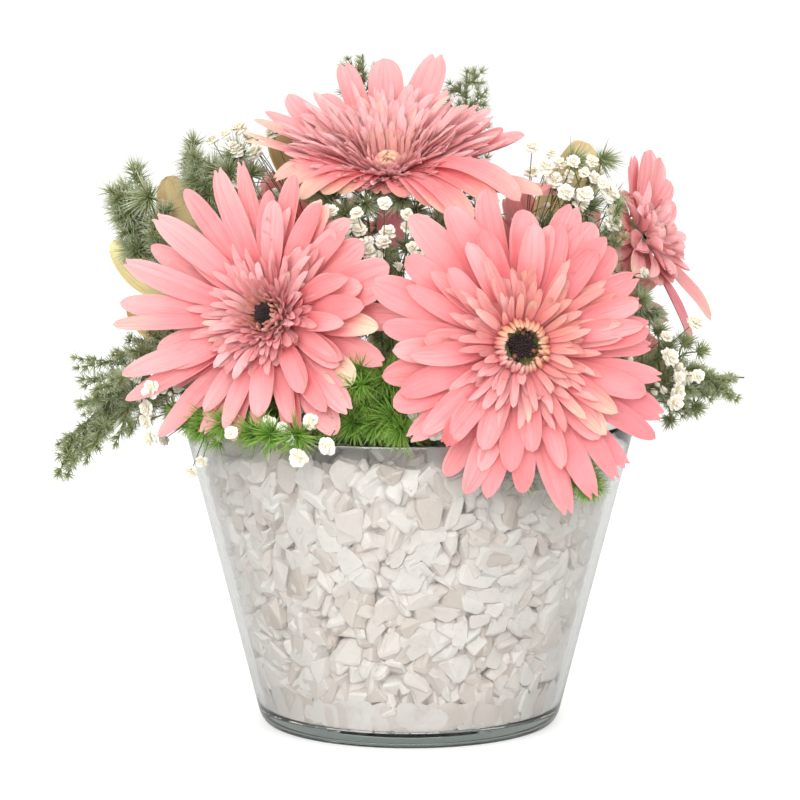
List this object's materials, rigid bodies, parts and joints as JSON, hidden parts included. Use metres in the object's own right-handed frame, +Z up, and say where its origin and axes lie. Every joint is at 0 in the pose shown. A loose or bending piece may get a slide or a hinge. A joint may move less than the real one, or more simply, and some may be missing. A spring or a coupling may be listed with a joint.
{
  "type": "gerberas in a glass vase",
  "caption": "Pink gerberas with asparagus fern, baby's breath and tan leaves in a conical clear glass vase filled with white marble chips round a block of floral foam.",
  "frame": {"origin": "centre of the vase's flat underside, on the surface it stands on", "axes": "+Z up along the vase's axis, -Y towards the viewer of the picture, +X to the viewer's right"},
  "size_m": [0.2563, 0.2012, 0.2502],
  "materials": {
    "clear_glass": "clear, smooth, faintly green at the thick base",
    "marble_chips": "crushed white marble, matt with sugary faces",
    "wet_foam": "wet green floral foam, matt and finely porous",
    "pink_petal": "soft salmon-pink petal, satin, lengthwise veins",
    "peach_heart": "short peach inner petals round a dark brown disc",
    "green_stem": "pale green, finely hairy",
    "fern_green": "feathery needles, matt green",
    "cream_blossom": "small creamy-white double blossoms on thin green twigs",
    "tan_leaf": "dry-looking tan to yellow leaf, satin"
  },
  "bodies": {
    "root": {"back_babys_breath": "cream_blossom", "back_left_fern": "fern_green", "back_left_gerbera_calyx": "green_stem", "back_left_gerbera_heart": "peach_heart", "back_left_gerbera_petals": "pink_petal", "back_left_gerbera_stem": "green_stem", "back_low_babys_breath": "cream_blossom", "back_middle_fern": "fern_green", "back_right_fern": "fern_green", "back_right_gerbera_calyx": "green_stem", "back_right_gerbera_heart": "peach_heart", "back_right_gerbera_petals": "pink_petal", "back_right_gerbera_stem": "green_stem", "crown_babys_breath": "cream_blossom", "crown_left_fern": "fern_green", "crown_right_fern": "fern_green", "floral_foam": "wet_foam", "front_left_babys_breath": "cream_blossom", "front_left_fern": "fern_green", "front_left_gerbera_calyx": "green_stem", "front_left_gerbera_heart": "peach_heart", "front_left_gerbera_petals": "pink_petal", "front_left_gerbera_stem": "green_stem", "front_middle_babys_breath": "cream_blossom", "front_middle_fern": "fern_green", "front_right_fern": "fern_green", "front_right_gerbera_calyx": "green_stem", "front_right_gerbera_heart": "peach_heart", "front_right_gerbera_petals": "pink_petal", "front_right_gerbera_stem": "green_stem", "glass_vase": "clear_glass", "left_high_fern": "fern_green", "left_low_babys_breath": "cream_blossom", "left_low_fern": "fern_green", "left_lower_leaf": "tan_leaf", "left_middle_leaf": "tan_leaf", "left_top_fern": "fern_green", "left_upper_leaf": "tan_leaf", "middle_babys_breath": "cream_blossom", "pebble_bed": "marble_chips", "right_gerbera_calyx": "green_stem", "right_gerbera_heart": "peach_heart", "right_gerbera_petals": "pink_petal", "right_gerbera_stem": "green_stem", "right_high_babys_breath": "cream_blossom", "right_high_fern": "fern_green", "right_low_babys_breath": "cream_blossom", "right_low_fern": "fern_green", "right_lower_leaf": "tan_leaf", "right_upper_leaf": "tan_leaf", "top_back_leaf": "tan_leaf", "top_gerbera_calyx": "green_stem", "top_gerbera_heart": "peach_heart", "top_gerbera_petals": "pink_petal", "top_gerbera_stem": "green_stem", "top_left_leaf": "tan_leaf"}
  },
  "joints": []
}
